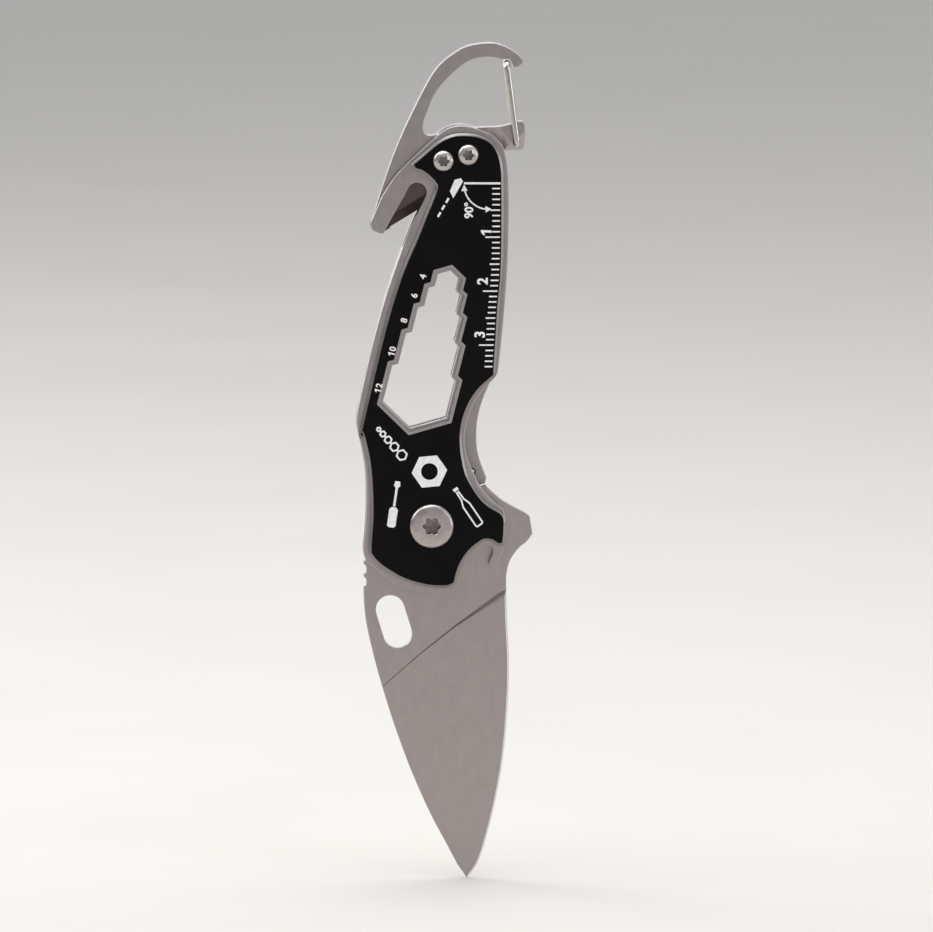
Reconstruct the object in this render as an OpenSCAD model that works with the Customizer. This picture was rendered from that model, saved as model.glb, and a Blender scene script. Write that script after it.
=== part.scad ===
// Folding pocket multi tool: blade, wrench opening, bottle opener, line cutter and carabiner.
// X runs to the right, Z up and Y to the back. The tool stands blade down with its blade open.
// Outlines are drawn round the blade pivot, then moved so that the origin is where the carabiner
// hangs from its hook.

/* [Overall] */
// Length with the blade open, from the carabiner's top to the blade's tip
overall_length = 156; // [130:1:190]
// Angle that the blade turns through as it closes
closing_angle = 170; // [165:1:172]

/* [Plates] */
// Thickness of the blade
blade_thick = 2.2; // [1.8:0.1:3]
// Free space between the blade and each frame plate
blade_gap = 0.2; // [0.15:0.05:0.4]
// Thickness of each frame plate
frame_thick = 1.5; // [1.2:0.1:2]
// Thickness of the black faceplate
face_thick = 1.0; // [0.8:0.1:1.5]
// Width of the bare chamfer round the black face
face_chamfer = 0.5; // [0.3:0.1:0.6]

/* [Wrench opening] */
// Largest hexagon, across flats
wrench_largest = 12; // [10:1:13]
// Difference between one hexagon and the next
wrench_step = 2; // [1.5:0.5:2]
// Play added to each hexagon, across flats
wrench_play = 0.1; // [0.05:0.05:0.3]
// How far the black face stays back from the wrench opening
wrench_rim = 1.1; // [0.8:0.1:1.3]

/* [Pivot] */
// Diameter of the threaded post
post_d = 4.0; // [3.5:0.1:4.5]
// Outer diameter of the bush that the blade turns on
bush_d = 5.5; // [5:0.1:6.5]
// Radial play between bush and blade
pivot_play = 0.03; // [0.02:0.01:0.05]
// Diameter of the pivot screw's head
pivot_head_d = 8.1; // [7:0.1:9]
// Height of the pivot screw's head
pivot_head_h = 1.0; // [0.8:0.1:1.4]
// Outer diameter of the two washers
washer_d = 12; // [10:0.5:14]
// Diameter of the stop pin
stop_d = 2.5; // [2:0.1:2.8]

/* [Body screws] */
// Diameter of the screws' thread
screw_d = 2.4; // [2:0.1:2.6]
// Diameter of the domed heads
screw_head_d = 3.9; // [3.4:0.1:4.4]
// Height of the domed heads
screw_head_h = 1.3; // [1:0.1:1.6]
// Outer diameter of the pressed nuts
nut_d = 4.4; // [4:0.1:5]

/* [Gate] */
// Diameter of the gate's wire
wire_d = 1.2; // [1:0.1:1.3]
// Radial play of the wire's ends in the arm
wire_play = 0.05; // [0.03:0.01:0.08]

/* [Blade] */
// Hollows for the thumb on the back of the blade
grip_count = 3; // [0:1:3]
// Distance from one hollow to the next
grip_pitch = 2.35; // [2.2:0.05:2.6]

/* [Lock bar] */
// Width of the slit that frees the lock bar
slit_w = 0.8; // [0.6:0.1:1]
// Depth of the cut that thins the lock bar at its root
flexure_cut = 0.8; // [0.6:0.1:1]
// Diameter of the ball that holds the blade shut
ball_d = 1.6; // [1.4:0.1:2]

/* [Hidden] */
$fn = 64;

drawn_length = 156;                          // length at which the outlines below are drawn
k = overall_length / drawn_length;           // the outlines' scale
through = 20;                                // a cut this long goes through everything
seat_play = 0.02;                            // radial play of seated pins, nuts and screws

// Depths from front to back, with the blade's middle at 0.
blade_y = blade_thick / 2;
core_y = blade_y + blade_gap;                // the carabiner plate's faces, the frames' inner faces
frame_y = core_y + frame_thick;              // the frames' outer faces
face_y = frame_y + face_thick;               // the faceplate's outer face

hang_point = k * [10.07, 86.70];             // where the carabiner bears on what it hangs from
screw_places = k * [[2.18, 67.7], [6.78, 68.8]];
gate_pivot = k * [15.85, 70.7];
gate_top = k * [14.0, 85.5];
gate_reach = core_y + 0.1 + wire_d / 2;      // middle of the gate's two legs, from the tool's middle

tip_radius = k * 66.35;                      // the blade's tip, from the pivot
tip_play = k * 0.5;                          // round the tip, inside the carabiner plate
edge_play = k * 0.4;                         // beside the shut blade's edge
driver_radius = k * 19;                      // the driver's end, from the pivot
stop_radius = k * 10;                        // the stop pin, from the pivot
stop_angle = 217;
stop_play = 0.06;

wrench_centre = k * [-2.2, 24.85];
wrench_angle = 75.7;
wrench_count = 5;

lock_root_z = k * 38;
flexure_length = k * 6;
ball_place = k * [7.6, 9.5];
ball_out = 0.14;                             // how far the ball stands out towards the blade

// ---- curves ----
function turned(p, a) = [p[0] * cos(a) - p[1] * sin(a), p[0] * sin(a) + p[1] * cos(a)];
function on_arc(c, r, a) = c + r * [cos(a), sin(a)];
function arc(c, r, a0, a1, n = 12) = [for (i = [0:n]) on_arc(c, r, a0 + (a1 - a0) * i / n)];

// A smooth curve through points, each stretch in n steps.
function curve(p, n = 4) = concat([for (i = [0:len(p) - 2], j = [0:n - 1])
    stretch(i > 0 ? p[i - 1] : 2 * p[0] - p[1], p[i], p[i + 1],
            i < len(p) - 2 ? p[i + 2] : 2 * p[i + 1] - p[i], j / n)], [p[len(p) - 1]]);
function stretch(a, b, c, d, t) = 0.5 * (2 * b + (c - a) * t + (2 * a - 5 * b + 4 * c - d) * t * t
    + (3 * b - a - 3 * c + d) * t * t * t);

// ---- shared outlines, at the drawn size and round the pivot ----
left_side = curve([[-12.2, -6.3], [-12.5, -4.6], [-12.2, -1.4], [-11.95, 3], [-12, 9], [-12.65, 13.6],
    [-13.6, 17.9], [-13.7, 20.2], [-13.1, 23.5], [-11.1, 32.4], [-8.7, 41.4], [-6.2, 48.9],
    [-4.2, 54.3], [-2.55, 57.8], [-1.3, 60.4]]);
slot_end = arc([-2.6, 61.85], 1.75, -22, 150);
slot_hook = concat(curve([[-5.05, 60.9], [-6.75, 57.95], [-8.4, 55], [-8.85, 54.2]]),
    curve([[-9.1, 54.1], [-9.9, 54.35], [-10.7, 54.75], [-11.1, 55.3], [-11.2, 56]]));
frame_top = curve([[-9, 61.2], [-6.8, 64.6], [-4.5, 67.1], [0.2, 71.5], [2.7, 73.4], [4.6, 74.05],
    [6.7, 74], [9.1, 73.3], [11.3, 72.4], [12.8, 71], [13.65, 69.2], [14.25, 64.4], [14.3, 55],
    [13.95, 46], [13.35, 38.2]]);
opener = curve([[13.3, 3], [13.75, 1.5], [13.9, -0.6], [13.75, -3], [13.3, -4.9], [12.6, -6.6], [11.8, -7.5],
    [11.1, -7.85], [10.65, -7.2], [10.8, -6.4], [11.25, -5.3], [11.3, -4.3], [10.4, -3.6], [9, -3.5],
    [7.9, -4.2], [6.6, -5.6], [5.5, -7.5], [4.75, -9.8], [4.5, -12.3]]);
bottom = curve([[4.1, -12.6], [0, -12.8], [-5, -11.7], [-8.8, -9.5], [-12.2, -6.3]]);

front_outline = concat(left_side, slot_end, slot_hook, frame_top,
    curve([[12.95, 34], [12.4, 29.2], [11.9, 27.6], [9.9, 25.4], [8.1, 22.9], [6.8, 19.8], [6.2, 16.4],
        [6.35, 13.8], [7, 11.7], [8.4, 8.5], [9.3, 6.9], [11.1, 4.8]]), opener, bottom);

slit_side = curve([[7.75, 37], [6.7, 27.5], [5.65, 20], [5.1, 12], [4.85, 8], [4.9, 5.6]]);
rear_outline = concat(left_side, slot_end, slot_hook, frame_top, [[13.35, 38], [8.7, 38]], slit_side,
    [[5.2, 4.9], [9.8, 6.2]], [[11.1, 4.8]], opener, bottom);

bar_outer = curve([[13.35, 38], [12.95, 34], [12.4, 29.2], [11.4, 26.8], [9.9, 23.4], [9.05, 20.6],
    [8.6, 17.8], [8.6, 14.6], [9.1, 12], [10.4, 8.4]]);
bar_inner = [for (i = [len(slit_side) - 5:-1:0]) slit_side[i] + [slit_w / k, 0]];
bar_outline = concat(bar_outer, [[10.2, 7.4], [6.1, 5.95], [5.7, 6.3]], bar_inner, [[8.7, 38]]);

face_outline = concat(
    curve([[11.4, 28], [11.75, 34], [12.2, 41], [12.7, 46.5], [12.9, 53.5], [12.9, 63.6], [12.75, 66.4],
        [12.2, 68.8], [10.9, 70.9], [8.6, 72], [6.1, 72.3], [3.9, 72.1], [1.4, 70.9], [-2.2, 67.9],
        [-3.3, 67]]),
    curve([[-2.9, 66.4], [-1.6, 65.95], [-0.3, 65], [0.9, 63.7], [1.2, 62.6], [0.25, 59.95],
        [-0.9, 57.2], [-2.4, 53.4], [-4.65, 48.2], [-6.05, 44.3], [-8.4, 36.4], [-12.4, 19.6],
        [-12.55, 17.9], [-11.4, 12.7], [-10.9, 7.8], [-10.75, 2], [-11.1, -3.2], [-11.1, -5]]),
    curve([[-10.3, -6.1], [-8.8, -7.4], [-5.1, -9.6], [-0.8, -10.85], [2.6, -11.05], [4, -10.6]]),
    curve([[5, -8.25], [5.95, -6.4], [7.1, -4.6], [8.6, -3.05], [9.8, -2.4], [11.2, -2.55],
        [12.4, -3.3]]),
    curve([[13.1, -3.2], [13.3, -0.6], [13.05, 1.8], [10.5, 3.5], [9, 4.9], [7.45, 7.1], [6.25, 9.4],
        [5.6, 12], [5.2, 15.2], [5.3, 18], [6, 20.9], [7.3, 23.7], [9, 25.9], [10.6, 27.3]]));

carabiner_outer = curve([[-11.1, 56], [-7.7, 66.4], [-5.1, 72.9], [-1.3, 80.7], [1.1, 84.6], [3.6, 86.9],
    [6.7, 88.7], [10.6, 89.3], [12.9, 88.95], [15.2, 87.8], [16.8, 86.4], [17, 85.6], [16.2, 84.8]]);
carabiner_inner = curve([[14.6, 86.35], [13.4, 86.25], [11.7, 86.6], [10.07, 86.7], [7.9, 86.3], [5.8, 85.2],
    [2.9, 82.6], [0.8, 80], [-0.5, 77.1], [-1.45, 74.2], [-1.1, 72.6], [-0.1, 72.2], [1.5, 72.5],
    [5, 73.2], [9, 73.7], [12.4, 73.8], [14.6, 74.25], [16.2, 74.75]]);
arm = concat(arc([16.5, 73.9], 0.9, 90, 0, 6), arc([16.5, 70.2], 0.9, 0, -90, 6));
spine_strip = [for (p = left_side) if (p[1] > 18 && p[1] < 56.5) p];
plate_outline = concat(carabiner_outer, [[15.35, 84.8], [15.05, 85.6]], carabiner_inner, arm,
    [[13.7, 69.3], [13.5, 66], [13.5, 60], [-8, 17.2], [-13.3, 17.2]], spine_strip,
    [[-2.4, 58.2], [-8.7, 54.4], [-9.9, 54.4], [-10.7, 54.95]]);

cutting_edge = curve([[14, -12], [14.2, -18.4], [14.55, -26.2], [14.3, -34], [13.5, -43.3],
    [12, -51.8], [10.05, -59.5], [8.6, -63.5], [6.7, -66]]);
blade_outline = concat([[6.4, 5.7], [10.16, 7.24]],
    curve([[11.4, 6], [13, 4.65], [15, 3.4], [17, 2.35], [18.3, 1.5]]),
    curve([[18.85, -1.9], [17.75, -3.35], [16.4, -4.4], [15.15, -5.95], [14.4, -7.5], [14, -9.4],
        [13.95, -11.6]]),
    cutting_edge,
    curve([[4.9, -63.4], [2.7, -59.2], [0.2, -54.5], [-2.45, -48.7], [-4.75, -43], [-7.1, -36.3],
        [-9.2, -29.5], [-10.8, -23.5], [-11.9, -18.4], [-12.35, -14.2], [-12.4, -10], [-12.4, -5.5]]),
    [[-10, -4.6], [-7, -2], [-2, 4]]);
plunge_line = [[22, -8], [14.07, -12.02], [4.7, -18.6], [-2.25, -24.1], [-8.7, -29.8], [-20, -40]];

thumb_hole = k * [[-7.53, -15.8], [-6.12, -20.33]];
thumb_hole_r = k * 2.65;

// ---- helpers ----
// Moves a piece drawn round the pivot to its place below the hanging point.
module place() {
    translate([-hang_point[0], 0, -hang_point[1]]) children();
}

// A plate of a flat outline, from depth y0 to depth y1.
module slab(y0, y1) {
    translate([0, y1, 0]) rotate([90, 0, 0]) linear_extrude(y1 - y0) children();
}

// A round bar along Y at point p, from depth y0 to depth y1.
module rod(p, r, y0, y1) {
    translate([p[0], y1, p[1]]) rotate([90, 0, 0]) cylinder(r = r, h = y1 - y0);
}

module drawn(points) {
    scale(k) polygon(points);
}

// A rod that is drilled right through.
module drill(p, d) {
    rod(p, d / 2, -through, through);
}

// The stepped opening: each hexagon's centre is the corner of the one before it.
module wrench_opening(grow) {
    for (i = [0:wrench_count - 1]) {
        size = wrench_largest - i * wrench_step;
        rise = i == 0 ? 0 : (i * wrench_largest - wrench_step * i * (i - 1) / 2) / sqrt(3);
        translate(on_arc(wrench_centre, rise, wrench_angle)) rotate(wrench_angle)
            circle(d = (size + 2 * grow) * 2 / sqrt(3), $fn = 6);
    }
}

// The holes that both frames share.
module frame_holes() {
    slab(-through, through) wrench_opening(wrench_play / 2);
    drill(on_arc([0, 0], stop_radius, stop_angle), stop_d + 2 * seat_play);
}

// A six-lobe recess, cut from y to y + depth.
module lobe_recess(p, r, y, depth) {
    points = [for (a = [0:10:350]) (r - r * 0.15 * (1 + cos(6 * a + 180))) * [cos(a), sin(a)]];
    translate([p[0], 0, p[1]]) slab(y, y + depth) polygon(points);
}

// ---- handle ----
module faceplate() {
    color([0.06, 0.055, 0.055]) place() difference() {
        slab(-face_y, -frame_y) difference() {
            intersection() {
                offset(delta = face_chamfer) drawn(face_outline);
                drawn(front_outline);
            }
            wrench_opening(wrench_rim - face_chamfer);
        }
        drill([0, 0], post_d + 2 * seat_play);
        for (p = screw_places) drill(p, screw_d + 0.1);
    }
}

module front_frame() {
    color([0.58, 0.55, 0.54]) place() difference() {
        slab(-frame_y, -core_y) drawn(front_outline);
        frame_holes();
        drill([0, 0], post_d + 2 * seat_play);
        for (p = screw_places) drill(p, screw_d + 0.1);
    }
}

// The space for the shut blade: inside the tip's circle and right of the shut edge.
module blade_pocket() {
    shut_edge = [for (p = cutting_edge) turned(p, closing_angle) - [edge_play / k, 0]];
    intersection() {
        circle(r = tip_radius + tip_play, $fn = 180);
        drawn(concat(shut_edge, [[4.6, 68], [30, 68], [30, 10], [-11.5, 10]]));
    }
}

module carabiner_plate() {
    edge_start = k * [-2.4, 58.2];
    edge_angle = atan2(54.4 - 58.2, -8.7 + 2.4);
    color([0.6, 0.57, 0.56]) place() difference() {
        slab(-core_y, core_y) difference() {
            drawn(plate_outline);
            blade_pocket();
        }
        for (p = screw_places) drill(p, screw_d + 0.1);
        drill(gate_pivot, wire_d + 2 * wire_play);
        // the cutter's sharpened face
        translate([edge_start[0], 0, edge_start[1]]) rotate([0, -edge_angle, 0])
            translate([-3 * k, 0, 0]) rotate([90, 0, 90]) linear_extrude(k * 8.6)
            polygon([[-core_y - 1, 1], [-core_y - 1, -2 * k], [-core_y, -2 * k],
                     [core_y - 0.3, 0], [core_y - 0.3, 1]]);
    }
}

module rear_frame() {
    color([0.56, 0.53, 0.52]) place() difference() {
        slab(core_y, frame_y) drawn(rear_outline);
        frame_holes();
        drill([0, 0], post_d + 2 * seat_play);
        rod([0, 0], washer_d / 4 + 0.5 + seat_play, frame_y - 0.8, frame_y + 1);
        for (p = screw_places) drill(p, nut_d + 2 * seat_play);
    }
}

module lock_bar() {
    color([0.63, 0.6, 0.59]) place() difference() {
        slab(core_y, frame_y) drawn(bar_outline);
        translate([0, frame_y - flexure_cut, lock_root_z - 1 * k - flexure_length])
            cube([through, through, flexure_length]);
        translate([ball_place[0], core_y - ball_out + ball_d / 2, ball_place[1]]) sphere(d = ball_d + 0.02);
    }
}

module detent_ball() {
    color([0.75, 0.75, 0.76]) place()
        translate([ball_place[0], core_y - ball_out + ball_d / 2, ball_place[1]]) sphere(d = ball_d);
}

module stop_pin() {
    color([0.7, 0.7, 0.7]) place()
        rod(on_arc([0, 0], stop_radius, stop_angle), stop_d / 2, -frame_y, frame_y);
}

// ---- pivot ----
module pivot_post() {
    color([0.66, 0.65, 0.64]) place() difference() {
        union() {
            rod([0, 0], post_d / 2, -frame_y + 0.1, frame_y - 0.1);
            rod([0, 0], washer_d / 4 + 0.5, frame_y - 0.8, frame_y);
        }
        rod([0, 0], screw_d / 2 + seat_play, -through, frame_y - 0.6);
    }
}

module pivot_screw() {
    chamfer = pivot_head_h / 2;
    color([0.68, 0.67, 0.66]) place() difference() {
        union() {
            translate([0, -face_y, 0]) rotate([90, 0, 0]) rotate_extrude()
                polygon([[0, 0], [pivot_head_d / 2, 0], [pivot_head_d / 2, pivot_head_h - chamfer],
                         [pivot_head_d / 2 - chamfer, pivot_head_h], [0, pivot_head_h]]);
            rod([0, 0], post_d / 2, -face_y, -frame_y);
            rod([0, 0], screw_d / 2, -face_y, frame_y - 0.9);
        }
        lobe_recess([0, 0], 1.65, -face_y - pivot_head_h - 1, 1 + pivot_head_h * 1.3);
    }
}

module pivot_bush() {
    color([0.75, 0.6, 0.35]) place() difference() {
        rod([0, 0], bush_d / 2, -core_y, core_y);
        drill([0, 0], post_d + 2 * seat_play);
    }
}

module washer(y0, y1) {
    color([0.75, 0.6, 0.35]) place() difference() {
        rod([0, 0], washer_d / 2, y0, y1);
        drill([0, 0], bush_d + 2 * seat_play);
    }
}

module pivot_washer_front() {
    washer(-core_y, -blade_y - 0.02);
}

module pivot_washer_rear() {
    washer(blade_y + 0.02, core_y);
}

// ---- screws and nuts ----
module body_screw(p) {
    dome_r = (pow(screw_head_d / 2, 2) + pow(screw_head_h, 2)) / (2 * screw_head_h);
    dome_angle = asin(screw_head_d / 2 / dome_r);
    color([0.72, 0.71, 0.7]) place() difference() {
        union() {
            translate([p[0], -face_y, p[1]]) rotate([90, 0, 0]) rotate_extrude()
                polygon(concat([[0, 0]], [for (i = [8:-1:0])
                    let (a = 90 - dome_angle * i / 8)
                    [dome_r * cos(a), dome_r * sin(a) - dome_r + screw_head_h]]));
            rod(p, screw_d / 2, -face_y, frame_y - 0.2);
        }
        lobe_recess(p, 1.05, -face_y - screw_head_h - 1, 1 + screw_head_h * 0.7);
    }
}

module body_screw_left() {
    body_screw(screw_places[0]);
}

module body_screw_right() {
    body_screw(screw_places[1]);
}

module frame_nuts() {
    for (p = screw_places) color([0.6, 0.58, 0.56]) place() difference() {
        rod(p, nut_d / 2, core_y, frame_y);
        drill(p, screw_d + 2 * seat_play);
    }
}

// ---- blade ----
module blade_flat() {
    difference() {
        union() {
            drawn(blade_outline);
            circle(r = stop_radius - stop_d / 2 - 2 * stop_play);
        }
        // the stop pin's track, open to the side
        for (a = [stop_angle, stop_angle - closing_angle])
            translate(on_arc([0, 0], stop_radius, a)) circle(d = stop_d + 2 * stop_play);
        polygon(concat(arc([0, 0], stop_radius + stop_d / 2 + stop_play, stop_angle,
                           stop_angle - closing_angle, 40),
                       arc([0, 0], stop_radius - stop_d / 2 - stop_play, stop_angle - closing_angle,
                           stop_angle, 40)));
        // the thumb hole
        for (p = thumb_hole) translate(p) circle(r = thumb_hole_r);
        polygon([for (s = [[0, 1], [1, 1], [1, -1], [0, -1]])
            on_arc(thumb_hole[s[0]], s[1] * thumb_hole_r, 17.3)]);
        // the thumb's grip on the back of the blade
        for (i = [0:grip_count - 1]) translate(k * [-13, -5.9 - i * grip_pitch]) circle(r = 1.1 * k);
        circle(d = bush_d + 2 * pivot_play);
    }
}

module blade() {
    half_ground = 0.3;                       // half the thickness at the edge
    ball_seat = turned(ball_place, -closing_angle);
    color([0.6, 0.57, 0.56]) place() difference() {
        union() {
            intersection() {
                slab(-blade_y, blade_y) blade_flat();
                slab(-through, through) drawn(concat(plunge_line, [[-20, 30], [30, 30]]));
            }
            intersection() {
                slab(-through, through) blade_flat();
                translate([14.9 * k, 0, -26 * k]) rotate([0, 5.7, 0])
                    translate([0, 0, -60 * k]) linear_extrude(120 * k)
                    polygon([for (s = [[1, 1], [-24.5, 1], [-24.5, -1], [1, -1]])
                        [s[0] * k, s[1] * (s[0] > 0 ? half_ground - 0.03 : blade_y)]]);
                slab(-through, through) drawn(concat(plunge_line, [[-20, -80], [30, -80]]));
            }
        }
        rod(ball_seat, ball_d / 2, blade_y - 0.4, blade_y + 1);
        // the driver's two slopes
        for (side = [1, -1]) scale([1, side, 1]) translate([0, 0, -6 * k]) linear_extrude(10 * k)
            polygon([[15.9 * k, blade_y], [20 * k, 0.25 * blade_y], [20 * k, 3], [15.9 * k, 3]]);
    }
}

// ---- gate ----
// A quarter bend of the wire in the YZ plane, round the point y, z, from angle a on.
module wire_bend(y, z, r, a) {
    translate([0, y, z]) rotate([90, 0, 90]) rotate([0, 0, a]) rotate_extrude(angle = 90)
        translate([r, 0]) circle(d = wire_d);
}

// The wire's loop stands on its two feet in the arm's hole, drawn upright and then tilted.
module gate_wire() {
    foot_r = gate_reach - core_y;
    top_r = k * 1.2;
    run = gate_top - gate_pivot;
    height = norm(run);
    color([0.75, 0.75, 0.75]) place()
        translate([gate_pivot[0], 0, gate_pivot[1]]) rotate([0, atan2(run[0], run[1]), 0]) {
            for (side = [0, 1]) mirror([0, side, 0]) {
                rod([0, 0], wire_d / 2, 0.3, gate_reach - foot_r);
                wire_bend(gate_reach - foot_r, foot_r, foot_r, -90);
                translate([0, gate_reach, foot_r]) cylinder(d = wire_d, h = height - foot_r - top_r);
                wire_bend(gate_reach - top_r, height - top_r, top_r, 0);
            }
            rod([0, height], wire_d / 2, top_r - gate_reach, gate_reach - top_r);
        }
}

faceplate();
front_frame();
carabiner_plate();
rear_frame();
lock_bar();
detent_ball();
pivot_post();
pivot_screw();
pivot_bush();
pivot_washer_front();
pivot_washer_rear();
stop_pin();
body_screw_left();
body_screw_right();
frame_nuts();
blade();
gate_wire();
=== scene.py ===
"""Finished looks of a folding pocket multi tool, built round its solid model.

The tool stands blade down with its blade open. X runs to the right, Z up and Y to the back, in
metres. Shapes are worked out in millimetres, and become metres as their meshes are made.
"""

import math

import bmesh
import bpy
import numpy as np
from mathutils import Matrix, Vector
from mathutils.geometry import delaunay_2d_cdt
from mathutils.kdtree import KDTree


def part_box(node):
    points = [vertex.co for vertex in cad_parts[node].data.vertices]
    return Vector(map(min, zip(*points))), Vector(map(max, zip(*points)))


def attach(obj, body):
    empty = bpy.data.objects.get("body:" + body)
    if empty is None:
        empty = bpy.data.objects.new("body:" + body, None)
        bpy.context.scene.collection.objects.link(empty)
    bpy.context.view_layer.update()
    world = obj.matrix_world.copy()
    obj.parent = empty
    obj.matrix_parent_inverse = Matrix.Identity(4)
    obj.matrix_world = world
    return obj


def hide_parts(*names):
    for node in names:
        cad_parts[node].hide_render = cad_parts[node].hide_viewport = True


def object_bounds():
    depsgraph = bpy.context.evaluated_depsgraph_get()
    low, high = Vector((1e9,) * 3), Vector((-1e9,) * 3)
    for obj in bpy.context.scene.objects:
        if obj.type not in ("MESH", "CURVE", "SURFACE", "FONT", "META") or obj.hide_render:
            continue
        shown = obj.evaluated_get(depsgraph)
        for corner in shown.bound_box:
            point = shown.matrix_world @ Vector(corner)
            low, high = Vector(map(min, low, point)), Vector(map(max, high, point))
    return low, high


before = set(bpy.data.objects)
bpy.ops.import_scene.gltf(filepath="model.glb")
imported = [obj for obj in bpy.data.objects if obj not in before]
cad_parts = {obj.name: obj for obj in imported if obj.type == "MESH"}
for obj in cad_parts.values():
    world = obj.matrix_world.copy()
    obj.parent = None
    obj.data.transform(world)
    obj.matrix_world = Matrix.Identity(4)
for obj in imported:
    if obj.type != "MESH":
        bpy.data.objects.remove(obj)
cad_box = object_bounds()
scene = bpy.context.scene
MM = 0.001               # metres in a millimetre

# ---- depths and places, in millimetres, taken from the frame ----


def middle(node):
    """Middle of a CAD node's box."""
    low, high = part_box(node)
    return (low + high) / 2 / MM


BLADE_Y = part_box("blade")[1].y / MM            # half the blade's thickness
CORE_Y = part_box("carabiner_plate")[1].y / MM   # the frames' inner faces
FRAME_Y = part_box("rear_frame")[1].y / MM       # the frames' outer faces
FACE_Y = -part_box("faceplate")[0].y / MM        # the black face
PIVOT = middle("pivot_bush")


def at(x, z):
    """A point given from the blade's pivot, x to the right and z up."""
    return Vector((PIVOT.x + x, PIVOT.z + z))


def turned(point, degrees):
    """A point turned about the origin, anticlockwise as seen from the front."""
    return point @ Matrix.Rotation(-math.radians(degrees), 2)


# ---- finishes ----
GRAIN_WIDTH = 0.22       # mm between brushing lines, coarser than the real 0.05 mm so they show
GRAIN_LENGTH = 9.0       # mm that a brushing line runs
TUMBLE_PATCH = 1.6       # mm across one soft patch that the tumbling left
BLAST_GRIT = 0.16        # mm across one dimple of the blasting under the black
TURNING_PITCH = 0.88     # mm between the soft rings of the lathe, wider than real ones so they show
HANDLING_PATCH = 7.0     # mm across a patch that hands have polished on the black
METAL_PATCH = 0.9        # mm across a soft patch on the small plated pieces
SCREW_PATCH = 1.1        # mm across one on the pivot screw
INK_PATCH = 0.5          # mm across a thin spot in the printed ink
FLOOR_PATCH = 60.0       # mm across a cloud in the floor's plaster
LINE_SHARE = 0.45        # share of a worked steel's pattern that is lines; the rest is patches
WAVE = 2 * math.pi / 20  # length of one wave in a wave pattern at scale 1
METRE = 1000.0           # mm in a metre, so METRE / size is a pattern's scale


def linear(code):
    """An sRGB hex colour as linear red, green, blue and alpha."""
    parts = [int(code[i:i + 2], 16) / 255 for i in (1, 3, 5)]
    return [c / 12.92 if c <= 0.04045 else ((c + 0.055) / 1.055) ** 2.4 for c in parts] + [1.0]


def add(tree, kind, settings, inputs):
    """Adds a node: settings are its properties, inputs its sockets' values or the sockets to link."""
    made = tree.nodes.new(kind)
    for key, value in settings.items():
        setattr(made, key, value)
    for key, value in inputs.items():
        if isinstance(value, bpy.types.NodeSocket):
            tree.links.new(value, made.inputs[key])
        else:
            made.inputs[key].default_value = value
    return made


def blank(name):
    """A new material and its empty node tree."""
    material = bpy.data.materials.new(name)
    material.use_nodes = True
    material.node_tree.nodes.clear()
    return material, material.node_tree


def pattern(tree, size, stretch=(1, 1, 1), detail=3.0):
    """Noise whose patches are about size mm across; stretch lengthens them along each axis."""
    where = add(tree, "ShaderNodeTexCoord", {}, {})
    scale = [1 / s for s in stretch]
    turned_map = add(tree, "ShaderNodeMapping", {}, {"Vector": where.outputs["Object"], "Scale": scale})
    noise = add(tree, "ShaderNodeTexNoise", {"noise_dimensions": "3D"},
                {"Vector": turned_map.outputs["Vector"], "Scale": METRE / size, "Detail": detail})
    return noise.outputs["Fac"]


def surface(tree, source, colours, rough, sockets):
    """Closes a material: its colour and roughness follow the pattern between two values each."""
    middle_range = {"Value": source, "From Min": 0.3, "From Max": 0.7}
    share = add(tree, "ShaderNodeMapRange", {"clamp": True}, middle_range)
    colour = add(tree, "ShaderNodeMix", {"data_type": "RGBA"},
                 {0: share.outputs["Result"], 6: linear(colours[0]), 7: linear(colours[1])})
    gloss = add(tree, "ShaderNodeMapRange", {"clamp": True},
                {**middle_range, "To Min": rough[0], "To Max": rough[1]})
    shader = add(tree, "ShaderNodeBsdfPrincipled", {},
                 {"Base Color": colour.outputs[2], "Roughness": gloss.outputs["Result"], **sockets})
    add(tree, "ShaderNodeOutputMaterial", {}, {"Surface": shader.outputs["BSDF"]})


def worked_steel(name, dark, light, rough, grain):
    """Stainless steel, ground along Z and then tumbled: a satin grey with soft patches and fine lines."""
    material, tree = blank(name)
    lines = pattern(tree, GRAIN_WIDTH, (1, 1, GRAIN_LENGTH / GRAIN_WIDTH), 2.0)
    patches = pattern(tree, TUMBLE_PATCH, (1, 1, 1.5))
    part = add(tree, "ShaderNodeMath", {"operation": "MULTIPLY"}, {0: patches, 1: 1 - LINE_SHARE})
    both = add(tree, "ShaderNodeMath", {"operation": "MULTIPLY_ADD"},
               {0: lines, 1: LINE_SHARE, 2: part.outputs[0]})
    bump = add(tree, "ShaderNodeBump", {},
               {"Height": both.outputs[0], "Strength": grain, "Distance": 0.06 * MM})
    surface(tree, both.outputs[0], (dark, light), (rough - 0.04, rough + 0.04),
            {"Normal": bump.outputs["Normal"], "Metallic": 1.0})
    return material


def black_anodised():
    """Aluminium, blasted and then anodised black: a deep, even black with a faint fine-grained sheen."""
    material, tree = blank("black_anodised_aluminium")
    grit = pattern(tree, BLAST_GRIT, detail=1.0)
    handling = pattern(tree, HANDLING_PATCH)
    bump = add(tree, "ShaderNodeBump", {}, {"Height": grit, "Strength": 0.12, "Distance": 0.02 * MM})
    surface(tree, handling, ("#070506", "#0c090a"), (0.40, 0.50),
            {"Normal": bump.outputs["Normal"], "Specular IOR Level": 0.10})
    return material


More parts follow.
